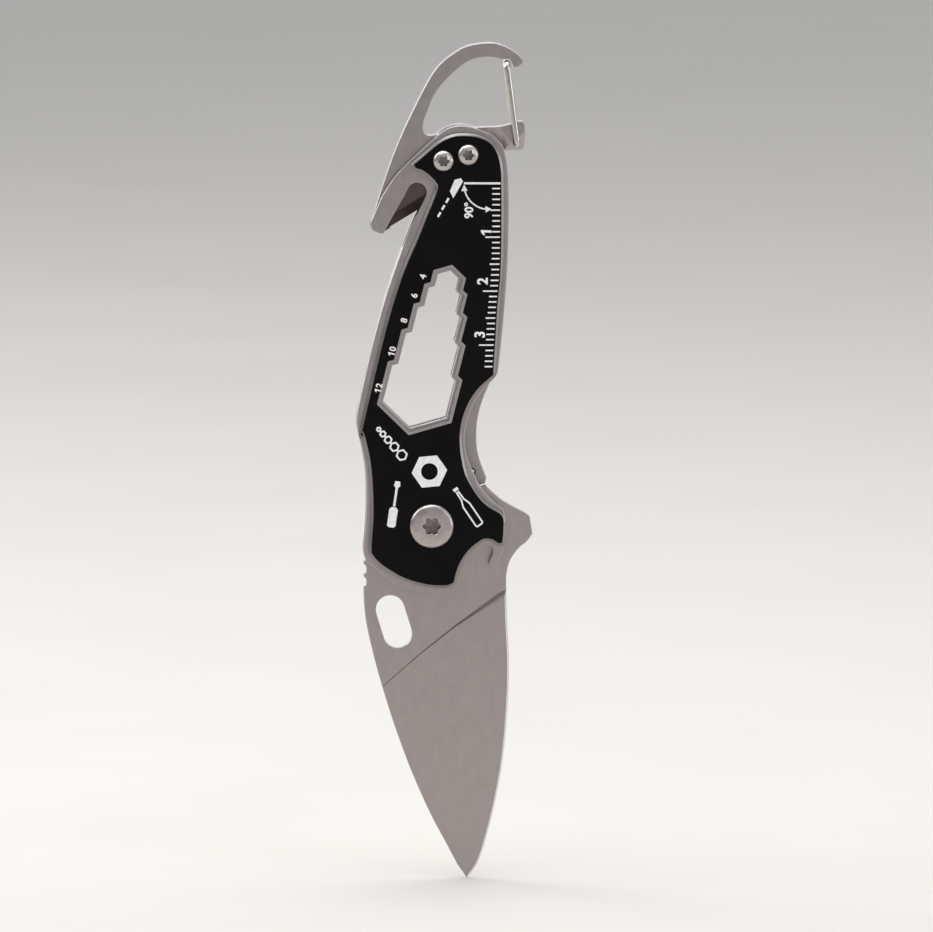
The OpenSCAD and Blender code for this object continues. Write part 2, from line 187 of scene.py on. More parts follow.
def turned_steel():
    """Plated screw steel, turned on a lathe: faint rings round the pivot catch the light."""
    material, tree = blank("turned_screw_steel")
    where = add(tree, "ShaderNodeTexCoord", {}, {})
    centred = add(tree, "ShaderNodeMapping", {},
                  {"Vector": where.outputs["Object"], "Location": (-PIVOT.x * MM, 0, -PIVOT.z * MM)})
    rings = add(tree, "ShaderNodeTexWave", {"wave_type": "RINGS", "rings_direction": "Y"},
                {"Vector": centred.outputs["Vector"], "Scale": METRE / TURNING_PITCH * WAVE,
                 "Distortion": 0.4, "Detail": 1.0})
    patches = pattern(tree, SCREW_PATCH)
    bump = add(tree, "ShaderNodeBump", {},
               {"Height": rings.outputs["Fac"], "Strength": 0.10, "Distance": 0.03 * MM})
    surface(tree, patches, ("#aba4a2", "#bdb6b4"), (0.27, 0.36),
            {"Normal": bump.outputs["Normal"], "Metallic": 1.0})
    return material


def plain_metal(name, dark, light, rough):
    """A metal whose surface shows only soft patches and small marks of handling."""
    material, tree = blank(name)
    patches = pattern(tree, METAL_PATCH)
    bump = add(tree, "ShaderNodeBump", {}, {"Height": patches, "Strength": 0.05, "Distance": 0.05 * MM})
    surface(tree, patches, (dark, light), (rough - 0.04, rough + 0.05),
            {"Normal": bump.outputs["Normal"], "Metallic": 1.0})
    return material


def printed_ink():
    """Pad-printed white ink: matt and a little thin, so its white is uneven."""
    material, tree = blank("pad_printed_white_ink")
    thin = pattern(tree, INK_PATCH)
    surface(tree, thin, ("#ece9e7", "#ffffff"), (0.55, 0.65), {"Specular IOR Level": 0.3})
    return material


def plaster_floor():
    """A plain pale floor: smooth plaster with hardly any mottling."""
    material, tree = blank("pale_plaster")
    cloud = pattern(tree, FLOOR_PATCH)
    surface(tree, cloud, ("#c4c1bc", "#c7c4bf"), (0.78, 0.82), {"Specular IOR Level": 0.2})
    return material


SATIN = worked_steel("satin_tumbled_steel", "#a39c9c", "#b0a9a8", 0.36, 0.14)
BLADE_STEEL = worked_steel("ground_blade_steel", "#a8a09f", "#b1a9a7", 0.34, 0.09)
EDGE_STEEL = worked_steel("milled_edge_steel", "#a8a3a2", "#b2adac", 0.40, 0.04)
# painted shade: a darker copy of the bare edge metal, put on the black plate's outer chamfer and wall
CHAMFER_SHADE_METAL = worked_steel("painted_shade_chamfer_metal", "#858080", "#8f8a8a", 0.34, 0.04)
# painted shade: a darker steel on the slope of the blade's plunge line, so that the line shows dark
PLUNGE_SHADE_STEEL = worked_steel("painted_plunge_shade_steel", "#7a716f", "#877e7c", 0.42, 0.04)
HONED_STEEL = worked_steel("honed_edge_steel", "#d6d4d3", "#dedcdb", 0.22, 0.04)
# painted shade: a dark steel for the carabiner plate inside the frames' slot, standing for the shade that
# the frames' edge casts there
SLOT_SHADE_STEEL = worked_steel("painted_slot_shade_steel", "#5e5452", "#6a605d", 0.34, 0.10)
BLACK = black_anodised()
SCREW_STEEL = turned_steel()
DOME_STEEL = plain_metal("plated_screw_steel", "#b3adaa", "#c2bdba", 0.30)
# painted shade: the screws' socket walls and bottoms are darker steel, standing for the shade in their
# hollows
SOCKET_SHADE_STEEL = plain_metal("painted_socket_shade_steel", "#6b6563", "#8a8381", 0.28)
WIRE_STEEL = plain_metal("drawn_spring_wire", "#bdb8b3", "#cfcac6", 0.17)
HARD_STEEL = plain_metal("hardened_ball_and_pin_steel", "#b5b3b3", "#c6c4c4", 0.16)
BRONZE = plain_metal("phosphor_bronze", "#a37a42", "#b98e54", 0.32)
INK = printed_ink()

# ---- outlines ----
SMOOTH_TURN = math.radians(25)   # an outline's corner sharper than this stays a corner
STRAIGHT = 0.002                 # radians; a stretch that bends less than this stays straight
FINEST = 0.3                     # mm; shorter stretches of an outline aren't divided
SHARPEST = 0.55                  # least share of a step that a pointed corner is divided by


def left_of(v):
    """The way to the left of a way."""
    return Vector((-v.y, v.x))


def area(loop):
    """Area inside a loop, below 0 where it runs clockwise."""
    return sum(loop[i - 1].cross(loop[i]) for i in range(len(loop))) / 2


def rounded(loop):
    """The outline with one more point on each curved stretch, so that it runs on smoothly."""
    count = len(loop)
    ways = [(loop[(i + 1) % count] - loop[i]).normalized() for i in range(count)]
    made = []
    for i in range(count):
        here, there = loop[i], loop[(i + 1) % count]
        made.append(here)
        before, along, after = ways[i - 1], ways[i], ways[(i + 1) % count]
        bends = [before.angle(along, 0), along.angle(after, 0)]
        length = (there - here).length
        if length > FINEST and STRAIGHT < max(bends) < SMOOTH_TURN:
            lean = (before + along).normalized() - (along + after).normalized()
            made.append((here + there) / 2 + lean * length / 8)
    return made


def outlines(node, depth):
    """The loops where a CAD node is cut at a depth: the outer one left-handed, its holes right-handed."""
    cut = bmesh.new()
    cut.from_mesh(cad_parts[node].data)
    bmesh.ops.remove_doubles(cut, verts=cut.verts, dist=1e-6)
    everything = cut.verts[:] + cut.edges[:] + cut.faces[:]
    bmesh.ops.bisect_plane(cut, geom=everything, plane_co=(0, depth * MM, 0), plane_no=(0, 1, 0),
                           clear_inner=True, clear_outer=True)
    bmesh.ops.remove_doubles(cut, verts=cut.verts, dist=1e-5)
    waiting = set(cut.verts)
    loops = []
    while waiting:
        here = waiting.pop()
        loop = [here]
        while True:
            ahead = [e.other_vert(here) for e in here.link_edges if e.other_vert(here) in waiting]
            if not ahead:
                break
            here = ahead[0]
            waiting.discard(here)
            loop.append(here)
        loops.append([Vector((v.co.x, v.co.z)) / MM for v in loop])
    cut.free()
    loops = sorted((loop for loop in loops if len(loop) > 2), key=lambda loop: -abs(area(loop)))
    made = []
    for i, loop in enumerate(loops):
        if (area(loop) > 0) != (i == 0):
            loop.reverse()
        made.append(rounded(rounded(loop)))
    return made


def mitre(before, here, after):
    """The step to the left that keeps two neighbouring sides at distance 1 from where they were."""
    sides = [left_of((here - before).normalized()), left_of((after - here).normalized())]
    across = (sides[0] + sides[1]).normalized()
    return across / max(across.dot(sides[1]), SHARPEST)


def inset(loop, distance):
    """The loop moved to its left by a distance."""
    count = len(loop)
    return [loop[i] + mitre(loop[i - 1], loop[i], loop[(i + 1) % count]) * distance for i in range(count)]


# ---- pieces ----
def put(name, data):
    """Puts a new object into the scene."""
    made = bpy.data.objects.new(name, data)
    scene.collection.objects.link(made)
    return made


def baked(holder):
    """An object's finished mesh. Its modifiers and the object itself are taken away."""
    made = bpy.data.meshes.new_from_object(holder.evaluated_get(bpy.context.evaluated_depsgraph_get()))
    holder.modifiers.clear()
    bpy.data.objects.remove(holder)
    return made


def keep(name, mesh, materials, body, slot, *nodes):
    """Puts a finished mesh into the scene, on its body and in the place of its CAD nodes."""
    piece = put(name, mesh)
    for material in materials:
        mesh.materials.append(material)
    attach(piece, body)
    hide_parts(*nodes)


def triangles_inside(loops, creases):
    """A flat net of triangles over the outlines' inside, with the creases as edges in it."""
    points, edges = [], []
    for loop in loops:
        first = len(points)
        points += loop
        edges += [(first + i, first + (i + 1) % len(loop)) for i in range(len(loop))]
    for crease in creases:
        first = len(points)
        points += crease
        edges += [(first + i, first + i + 1) for i in range(len(crease) - 1)]
    flat, _, faces = delaunay_2d_cdt(points, edges, [], 1, 1e-5)[:3]
    corners = np.array([[flat[i] for i in face] for face in faces if len(face) == 3])
    centres = corners.mean(axis=1)
    inside = np.zeros(len(centres), bool)
    for loop in loops:
        ring = np.array([list(p) for p in loop])
        for a, b in zip(ring, np.roll(ring, -1, axis=0)):
            crosses = (a[1] > centres[:, 1]) != (b[1] > centres[:, 1])
            if crosses.any():
                reach = a[0] + (centres[:, 1] - a[1]) * (b[0] - a[0]) / (b[1] - a[1])
                inside ^= crosses & (centres[:, 0] < reach)
    kept = [face for face, good in zip([f for f in faces if len(f) == 3], inside) if good]
    used = sorted({i for face in kept for i in face})
    renumbered = {old: new for new, old in enumerate(used)}
    made = []
    for face in kept:
        a, b, c = (flat[i] for i in face)
        order = face if (b - a).cross(c - a) > 0 else face[::-1]
        made.append([renumbered[i] for i in order])
    return [flat[i] for i in used], made


def round_rim(width, steps=3):
    """A quarter-round rim as pairs of how far out and how far down."""
    angles = [math.pi / 2 * (i + 1) / steps for i in range(steps)]
    return [(width * math.sin(a), width * (1 - math.cos(a))) for a in angles]


def flat_at(depth):
    """A face that has one depth everywhere."""
    return lambda point: depth


PLATE_CREASE = math.radians(38)   # a plate's rim edges that turn more than this stay sharp
LATHE_CREASE = math.radians(34)   # and a turned piece's
RIM_LIMIT = 0.4                   # the largest share of a plate's thickness that a rim takes
KNOWN_WITHIN = 0.001              # mm between a net's point and the outline's point that it is


def plate_mesh(name, loops, front, back, front_rim, back_rim, creases=(), eased=None, finish=None):
    """A closed plate. front and back give the depth at a point, and the rims run out to the loops.

    eased says how much of its rim a point has, and finish which material a face's middle has."""
    width = front_rim[-1][0]
    inner = [inset(loop, width) for loop in loops]
    flat, faces = triangles_inside(inner, creases)
    steps_out = [(a - b) / width for loop, ring in zip(loops, inner) for a, b in zip(loop, ring)]
    known = KDTree(len(steps_out))
    for i, point in enumerate(p for ring in inner for p in ring):
        known.insert((point.x, point.y, 0), i)
    known.balance()
    count = len(flat)
    depths = [(front(p), back(p)) for p in flat]
    points = [(p.x, d[0], p.y) for p, d in zip(flat, depths)]
    points += [(p.x, d[1], p.y) for p, d in zip(flat, depths)]
    sides = {(f[i - 1], f[i]) for f in faces for i in range(3)}
    rim_edges = [(i, j) for i, j in sides if (j, i) not in sides]
    after = dict(rim_edges)
    before = {j: i for i, j in rim_edges}
    polygons = [tuple(f) for f in faces] + [tuple(i + count for i in f[::-1]) for f in faces]
    caps = len(polygons)
    rim = sorted(after)
    outward = {}
    for i in rim:
        _, nearest, gap = known.find((flat[i].x, flat[i].y, 0))
        own = gap < KNOWN_WITHIN
        outward[i] = steps_out[nearest] if own else -mitre(flat[before[i]], flat[i], flat[after[i]])
    rings = []
    for side, profile in ((0, front_rim), (1, back_rim)):
        last = {i: i + side * count for i in rim}
        for out, down in profile:
            ring = {}
            for i in rim:
                thick = depths[i][1] - depths[i][0]
                drop = min(down * (eased(flat[i]) if eased else 1), thick * RIM_LIMIT)
                place = flat[i] + outward[i] * out
                ring[i] = len(points)
                points.append((place.x, depths[i][side] + (drop if side == 0 else -drop), place.y))
            for i, j in sorted(rim_edges):
                quad = (last[j], last[i], ring[i], ring[j])
                polygons.append(quad if side == 0 else quad[::-1])
            last = ring
        rings.append(last)
    for i, j in sorted(rim_edges):
        polygons.append((rings[0][j], rings[0][i], rings[1][i], rings[1][j]))
    mesh = bpy.data.meshes.new(name)
    mesh.from_pydata([[c * MM for c in p] for p in points], [], polygons)
    mesh.set_sharp_from_angle(angle=PLATE_CREASE)
    mesh.polygons.foreach_set("use_smooth", [i >= caps for i in range(len(polygons))])
    if finish:
        corners = [[points[i] for i in polygon] for polygon in polygons]
        middles = [Vector([sum(p[k] for p in c) / len(c) for k in (0, 2)]) for c in corners]
        mesh.polygons.foreach_set("material_index", [finish(m, i < caps) for i, m in enumerate(middles)])
    return mesh


def plate(node, cut, front, back, ease, body="handle", creases=()):
    """A satin steel plate with softly rounded rims in the place of a CAD node, cut at a depth."""
    mesh = plate_mesh(node, outlines(node, cut), front, back, round_rim(ease), round_rim(ease), creases)
    keep(node + "_finished", mesh, [SATIN], body, "satin_steel", node)


def face_outwards(mesh):
    """Merges a closed mesh's doubled points and turns its faces outwards."""
    shape = bmesh.new()
    shape.from_mesh(mesh)
    bmesh.ops.remove_doubles(shape, verts=shape.verts, dist=1e-7)
    bmesh.ops.recalc_face_normals(shape, faces=shape.faces)
    shape.to_mesh(mesh)
    shape.free()


def lathe_mesh(name, rings, centre, points_round=96, lobes=None, socket_rings=0):
    """A turned piece round Y at centre. Each ring is its radius, its depth and whether it is lobed.

    A depth may follow the radius, and the last socket_rings steps take the second material, which on the
    screws is a darker steel painted as the shade in the socket."""
    points, polygons = [], []
    first = []
    for radius, depth, lobed in rings:
        first.append(len(points))
        if radius == 0:
            points.append((centre.x, depth, centre.y))
            continue
        for i in range(points_round):
            a = 2 * math.pi * i / points_round
            r = radius * (lobes(a) if lobed else 1)
            deep = depth(r) if callable(depth) else depth
            points.append((centre.x + r * math.cos(a), deep, centre.y + r * math.sin(a)))
    for k in range(len(rings) - 1):
        for i in range(points_round):
            j = (i + 1) % points_round
            low = [first[k]] if rings[k][0] == 0 else [first[k] + i, first[k] + j]
            high = [first[k + 1]] if rings[k + 1][0] == 0 else [first[k + 1] + j, first[k + 1] + i]
            polygons.append(tuple(low + high))
    mesh = bpy.data.meshes.new(name)
    mesh.from_pydata([[c * MM for c in p] for p in points], [], polygons)
    mesh.polygons.foreach_set("use_smooth", [True] * len(polygons))
    socket = len(polygons) - socket_rings * points_round
    mesh.polygons.foreach_set("material_index", [int(i >= socket) for i in range(len(polygons))])
    face_outwards(mesh)
    mesh.set_sharp_from_angle(angle=LATHE_CREASE)
    return mesh


def joined(name, meshes):
    """Several closed meshes as one."""
    whole = bmesh.new()
    for mesh in meshes:
        whole.from_mesh(mesh)
    made = bpy.data.meshes.new(name)
    whole.to_mesh(made)
    whole.free()
    return made


# ---- plates of the handle ----
FRAME_EASE = 0.2        # mm; the frames' rims are tumbled this round
BAR_EASE = 0.15         # and the lock bar's
HOOK_EASE = 0.16        # and the carabiner's
FACE_CHAMFER = 0.5      # mm; the bare chamfer round the black face

plate("front_frame", -(CORE_Y + FRAME_Y) / 2, flat_at(-FRAME_Y), flat_at(-CORE_Y), FRAME_EASE)
# The rear frame is cut where the seats of the post's flange and of the nuts are open.
plate("rear_frame", FRAME_Y - 0.1, flat_at(CORE_Y), flat_at(FRAME_Y), FRAME_EASE)

# The lock bar springs at its root, where it is milled thin from behind.
FLEXURE = (31.0, 37.0)      # mm above the pivot
FLEXURE_DEPTH = 0.8
FLEXURE_SLOPE = 0.35        # mm over which the milling runs out


def lock_bar_back(point):
    """Depth of the lock bar's back, milled in between the flexure's heights."""
    height = point.y - PIVOT.z
    past = max(FLEXURE[0] - height, height - FLEXURE[1], 0)
    return FRAME_Y - FLEXURE_DEPTH * (1 - min(past / FLEXURE_SLOPE, 1))


flexure_lines = [[at(-5, z), at(20, z)] for z in
                 (FLEXURE[0] - FLEXURE_SLOPE, FLEXURE[0], FLEXURE[1], FLEXURE[1] + FLEXURE_SLOPE)]
plate("lock_bar", CORE_Y + 0.25, flat_at(CORE_Y), lock_bar_back, BAR_EASE, "lock_bar", flexure_lines)


# The carabiner plate is ground from the front to a cutting edge that crosses the frames' slot.
CUTTER_START, CUTTER_END = at(-2.4, 58.2), at(-8.7, 54.4)
CUTTER_LENGTH = 5.6         # mm of the edge that is ground, from its inner end
CUTTER_WIDTH = 2.0          # mm from the edge to where the grind runs out
CUTTER_LAND = 0.3           # mm of thickness left at the edge
CUTTER_RAMP = 0.4           # mm over which the grind runs out sideways
edge_way = (CUTTER_END - CUTTER_START).normalized()
edge_up = -left_of(edge_way)


def cutter_front(point):
    """Depth of the carabiner plate's front, which falls back towards the cutting edge."""
    along, up = (point - CUTTER_START).dot(edge_way), (point - CUTTER_START).dot(edge_up)
    ground = 1 - min(max(up / CUTTER_WIDTH, 0), 1)
    inside = 1 - min(max((along - CUTTER_LENGTH) / CUTTER_RAMP, 0), 1)
    return -CORE_Y + (2 * CORE_Y - CUTTER_LAND) * ground * inside


def cutter_point(along, up):
    """A point given along and above the cutting edge."""
    return CUTTER_START + edge_way * along + edge_up * up


cutter_lines = [[cutter_point(-3, CUTTER_WIDTH), cutter_point(9, CUTTER_WIDTH)],
                [cutter_point(CUTTER_LENGTH, -1), cutter_point(CUTTER_LENGTH, CUTTER_WIDTH)],
                [cutter_point(CUTTER_LENGTH + CUTTER_RAMP, -1),
                 cutter_point(CUTTER_LENGTH + CUTTER_RAMP, CUTTER_WIDTH)]]
# Inside this area the carabiner plate takes the dark steel, which is painted shade under the frames' edge.
slot_shade_area = [at(x, z) for x, z in ((0.0, 61.0), (-0.8, 63.4), (-3.0, 64.6), (-5.2, 63.2), (-6.6, 60.8),
                                   (-9.6, 55.2), (-9.2, 53.0), (-2.0, 56.5))]


def within(point, loop):
    """Whether a point lies inside a convex loop."""
    sides = zip(loop, loop[1:] + loop[:1])
    return all((b - a).cross(point - a) > 0 for a, b in sides)


hook_mesh = plate_mesh(
    "carabiner_plate", outlines("carabiner_plate", CORE_Y - CUTTER_LAND / 2), cutter_front, flat_at(CORE_Y),
    round_rim(HOOK_EASE), round_rim(HOOK_EASE), cutter_lines + [slot_shade_area + slot_shade_area[:1]],
    finish=lambda middle_point, cap: 1 if within(middle_point, slot_shade_area) else 0)
keep("carabiner_plate_finished", hook_mesh, [SATIN, SLOT_SHADE_STEEL], "handle", "satin_steel",
     "carabiner_plate")

# The black plate's chamfer was milled after the anodising, so it and the wall behind it are bare.
# Round the wrench opening the bare band is level with the black. Along the outer outline the bare chamfer
# and wall take a darker copy of the same metal, which is painted shade.
face_loops = outlines("faceplate", -(FRAME_Y + FACE_Y) / 2)
face_outer = np.array([list(p) for p in face_loops[0]])


def chamfered(point):
    """1 along the outer outline, 0 round the openings."""
    return 1 if np.hypot(*(face_outer - np.array(point)).T).min() < FACE_CHAMFER * 2 else 0


# The chamfer's two corners are broken by a few hundredths of a millimetre.
chamfer_rim = [(0.04, 0.02), (FACE_CHAMFER - 0.03, FACE_CHAMFER - 0.04), (FACE_CHAMFER, FACE_CHAMFER)]
face_mesh = plate_mesh(
    "faceplate", face_loops, flat_at(-FACE_Y), flat_at(-FRAME_Y), chamfer_rim,
    [(FACE_CHAMFER, 0)], eased=chamfered,
    finish=lambda middle_point, cap: 0 if cap else 1 + chamfered(middle_point))
keep("faceplate_finished", face_mesh, [BLACK, EDGE_STEEL, CHAMFER_SHADE_METAL], "handle", "black_anodised",
     "faceplate")

# ---- blade ----
EDGE_HALF = 0.27            # mm, half the thickness where the wide grind would meet the edge
GRIND_WIDTH = 25.5          # mm from the edge to where the grind runs out
GRIND_TURN = 5.7            # degrees that the grind leans from upright
SECOND_BEVEL = 0.34         # mm, width of the small bevel that cuts
SHARP_HALF = 0.04           # mm, half the thickness left at the edge
STEP_WIDTHS = (0.75, 0.65, 0.5, 0.4, 0.28, 0.2)   # mm, the slope at the plunge line, narrowing to the back
DRIVER_FROM = 13.5          # mm right of the pivot, where the driver starts to thin
DRIVER_LEAN = 0.2           # mm that this line moves left for each mm up
DRIVER_TO = 20.0            # mm right of the pivot, where the thinning would end
DRIVER_THIN = 0.35          # share of the blade's thickness left at DRIVER_TO
BLADE_EASE = 0.13           # mm; the rims outside the grinds are this round
EDGE_TOP = -12.2            # mm over the pivot, where the cutting edge starts
TIP_HEIGHT = -66.0          # mm over the pivot, where it ends
TIP_RIGHT = 6.6             # mm right of the pivot; the outline left of this is the spine
TIP_LEAN = 0.02             # mm that this line moves left for each mm up
EDGE_REST = 1.0             # mm past grind_origin, where the wide grind has the edge's thickness
BEVEL_RISE = 0.30           # mm that half the thickness grows by across the small bevel
HONED_SHARE = 0.9           # share of the small bevel's width that looks honed
HONED_BELOW = 0.4           # mm under the plunge line, where the honed band starts

plunge = [at(x, z) for x, z in ((22, -8), (14.07, -12.02), (4.7, -18.6), (-2.25, -24.1), (-8.7, -29.8),
                                (-20, -40))]
plunge_low = [p - Vector((0, width)) for p, width in zip(plunge, STEP_WIDTHS)]
blade_loops = outlines("blade", 0)
cutting_side = [p for p in blade_loops[0] if p.y - PIVOT.z < EDGE_TOP
                and p.x - PIVOT.x > TIP_RIGHT - (p.y - PIVOT.z - TIP_HEIGHT) * TIP_LEAN]
grind_origin = at(14.9, -26)          # a place on the upper, nearly straight part of the edge
grind_way = Vector((math.cos(math.radians(GRIND_TURN)), -math.sin(math.radians(GRIND_TURN))))
edge_line = np.array([list(p) for p in sorted(cutting_side, key=lambda p: -p.y)])


def edge_distance(point):
    """How far a point is from the cutting edge."""
    here = np.array(point)
    starts, ends = edge_line[:-1], edge_line[1:]
    along = ends - starts
    share = np.clip(((here - starts) * along).sum(1) / (along ** 2).sum(1), 0, 1)
    return float(np.sqrt((((starts + along * share[:, None]) - here) ** 2).sum(1).min()))


def height_over(line, x):
    """The height of a falling line at x."""
    for a, b in zip(line, line[1:]):
        if b.x <= x <= a.x:
            return b.y + (a.y - b.y) * (x - b.x) / (a.x - b.x)
    return line[0].y if x > line[0].x else line[-1].y


def half_thickness(point):
    """Half the blade's thickness at a point."""
    out = (point - grind_origin).dot(grind_way)
    ground = EDGE_HALF + (BLADE_Y - EDGE_HALF) * min((EDGE_REST - out) / GRIND_WIDTH, 1)
    top, low = height_over(plunge, point.x), height_over(plunge_low, point.x)
    share = min(max((top - point.y) / (top - low), 0), 1)
    half = BLADE_Y + (ground - BLADE_Y) * share
    past_line = point.x - PIVOT.x - DRIVER_FROM + DRIVER_LEAN * (point.y - PIVOT.z)
    slope = past_line / (DRIVER_TO - DRIVER_FROM)
    half = min(half, BLADE_Y * (1 - (1 - DRIVER_THIN) * max(slope, 0)))
    if share > 0:
        half = min(half, SHARP_HALF + edge_distance(point) * BEVEL_RISE / SECOND_BEVEL)
    return half


bevel_line = [p + left_of((b - a).normalized()) * -SECOND_BEVEL for a, p, b in
              zip([Vector(p) for p in edge_line], [Vector(p) for p in edge_line[1:]],
                  [Vector(p) for p in edge_line[2:]])]
grind_end = grind_origin + grind_way * (EDGE_REST - GRIND_WIDTH)
grind_line = [grind_end + left_of(grind_way) * s for s in (60, -60)]
driver_line = [at(DRIVER_FROM - DRIVER_LEAN * z, z) for z in (-12, 10)]


def blade_finish(middle_point, cap):
    """2 in the plunge cut, where a darker steel is painted shade along the plunge line, 1 on the honed
    bevel, 0 elsewhere.
    """
    below = height_over(plunge, middle_point.x) - middle_point.y
    if below > 0 and cap and middle_point.y > height_over(plunge_low, middle_point.x):
        return 2
    honed = below > HONED_BELOW and edge_distance(middle_point) < SECOND_BEVEL * HONED_SHARE
    return 1 if honed else 0


blade_mesh = plate_mesh(
    "blade", blade_loops, lambda p: -half_thickness(p), half_thickness, round_rim(BLADE_EASE, 2),
    round_rim(BLADE_EASE, 2), [plunge, plunge_low, bevel_line, grind_line, driver_line],
    finish=blade_finish)
keep("blade_finished", blade_mesh, [BLADE_STEEL, HONED_STEEL, PLUNGE_SHADE_STEEL], "blade", "blade_steel", "blade")

# ---- pivot ----
LOBE_DEPTH = 0.15           # half of how far the lobes go in, as a share of the socket's radius


def star(angle):
    """A six-lobed socket's radius, as a share of its largest."""
    return 1 - LOBE_DEPTH * (1 + math.cos(6 * angle + math.pi))


pivot_place = at(0, 0)
head_r = (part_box("pivot_screw")[1].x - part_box("pivot_screw")[0].x) / 2 / MM
head_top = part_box("pivot_screw")[0].y / MM
post_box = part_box("pivot_post")
flange_r = (post_box[1].x - post_box[0].x) / 2 / MM
HEAD_CHAMFER = 0.5          # mm, like all the radii and depths here
POST_R = 2.0
THREAD_R = 1.2
THREAD_GAP = 0.05
THREAD_END = FRAME_Y - 0.9
SOCKET_R = 1.65
SOCKET_DEPTH = 1.3
FLANGE_THICK = 0.8
FLANGE_CHAMFER = 0.2
screw_rings = [(0, THREAD_END, False), (THREAD_R, THREAD_END, False), (THREAD_R, -FRAME_Y, False),
               (POST_R, -FRAME_Y, False), (POST_R, -FACE_Y, False), (head_r, -FACE_Y, False),
               (head_r, head_top + HEAD_CHAMFER, False),
               (head_r - 0.06, head_top + HEAD_CHAMFER - 0.1, False),
               (head_r - HEAD_CHAMFER + 0.06, head_top + 0.04, False),
               (head_r - HEAD_CHAMFER - 0.06, head_top, False), (SOCKET_R + 0.4, head_top, False),
               (SOCKET_R + 0.12, head_top, True), (SOCKET_R, head_top + 0.12, True),
               (SOCKET_R - 0.05, head_top + SOCKET_DEPTH, True), (0, head_top + SOCKET_DEPTH + 0.2, False)]
keep("pivot_screw_finished", lathe_mesh("pivot_screw", screw_rings, pivot_place, 144, star, 2),
     [SCREW_STEEL, SOCKET_SHADE_STEEL], "handle", "screw_steel", "pivot_screw")

flange_in = FRAME_Y - FLANGE_THICK
post_rings = [(0, flange_in + 0.2, False), (THREAD_R + THREAD_GAP, flange_in + 0.2, False),
              (THREAD_R + THREAD_GAP, -FRAME_Y + 0.1, False), (POST_R, -FRAME_Y + 0.1, False),
              (POST_R, flange_in, False), (flange_r, flange_in, False),
              (flange_r, FRAME_Y - FLANGE_CHAMFER, False), (flange_r - FLANGE_CHAMFER, FRAME_Y, False),
              (0, FRAME_Y, False)]
keep("pivot_post_finished", lathe_mesh("pivot_post", post_rings, pivot_place), [SCREW_STEEL],
     "handle", "screw_steel", "pivot_post")

# ---- body screws and nuts ----
DOME_SOCKET_R = 1.05        # mm
DOME_SOCKET_DEPTH = 1.1
DOME_RISE = 1.05
DOME_RIM = 0.2              # mm, height of the rim that the dome stands on
DOME_STEPS = (0.02, 0.07, 0.16, 0.3, 0.5, 0.75)   # shares of the way in, where the dome's rings lie


def dome_screw(node):
    """A domed screw, whose rings run in to the socket's lobes. Returns where it stands."""
    low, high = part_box(node)
    place = Vector((low.x + high.x, low.z + high.z)) / 2 / MM
    rim_r = (high.x - low.x) / 2 / MM
    top = -FACE_Y - DOME_RIM - DOME_RISE
    end = high.y / MM

    def depth(r):
        return top + DOME_RISE * (1 - math.sqrt(max(1 - (r / rim_r) ** 2, 0)))

    dome = [rim_r] + [rim_r * (1 - s) + (DOME_SOCKET_R + 0.1) * s for s in DOME_STEPS]
    rings = [(0, end, False), (THREAD_R, end, False), (THREAD_R, -FACE_Y, False), (rim_r, -FACE_Y, False)]
    rings += [(r, depth(r), False) for r in dome]
    rings += [(DOME_SOCKET_R + 0.08, depth, True), (DOME_SOCKET_R, lambda r: depth(r) + 0.08, True),
              (DOME_SOCKET_R - 0.04, top + DOME_SOCKET_DEPTH, True),
              (0, top + DOME_SOCKET_DEPTH + 0.15, False)]
    keep(node + "_finished", lathe_mesh(node, rings, place, 120, star, 2), [DOME_STEEL, SOCKET_SHADE_STEEL],
         "handle", "screw_steel", node)
    return place


screw_places = [dome_screw("body_screw_left"), dome_screw("body_screw_right")]
NUT_R = 2.2
NUT_CHAMFER = 0.15
NUT_BORE = THREAD_R + 0.03
nut_rings = [(NUT_R, CORE_Y, False), (NUT_R, FRAME_Y - NUT_CHAMFER, False),
             (NUT_R - NUT_CHAMFER, FRAME_Y, False), (NUT_BORE + 0.17, FRAME_Y, False),
             (NUT_BORE, FRAME_Y - 0.17, False), (NUT_BORE, CORE_Y, False), (NUT_R, CORE_Y, False)]
nuts = joined("frame_nuts", [lathe_mesh("nut", nut_rings, place) for place in screw_places])
keep("frame_nuts_finished", nuts, [DOME_STEEL], "handle", "screw_steel", "frame_nuts")

# ---- small CAD pieces that keep their shape ----
for node, material in (("detent_ball", HARD_STEEL), ("stop_pin", HARD_STEEL), ("pivot_bush", BRONZE),
                       ("pivot_washer_front", BRONZE), ("pivot_washer_rear", BRONZE)):
    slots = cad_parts[node].data.materials
    slots.clear()
    slots.append(material)

# ---- gate: a loop of spring wire on two inturned feet ----
gate_low, gate_high = (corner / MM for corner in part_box("gate_wire"))
WIRE_D = 1.2            # mm
TOP_BEND = 1.2          # mm, the radius of the loop's two top corners
FOOT_END = 0.3          # mm from the middle plane, where each foot ends
BEND_STEPS = 10
WIRE_CREASE = math.radians(50)
gate_foot = at(15.85, 70.7)
gate_top = at(14.0, 85.5)
wire_reach = gate_high.y - WIRE_D / 2
foot_bend = wire_reach - CORE_Y
run = gate_top - gate_foot


def bend(y, z, radius, start):
    """Points along a quarter bend in the plane of the loop, from the angle start on."""
    angles = [math.radians(start + 90 * i / BEND_STEPS) for i in range(BEND_STEPS + 1)]
    return [(y + radius * math.cos(a), z + radius * math.sin(a)) for a in angles]


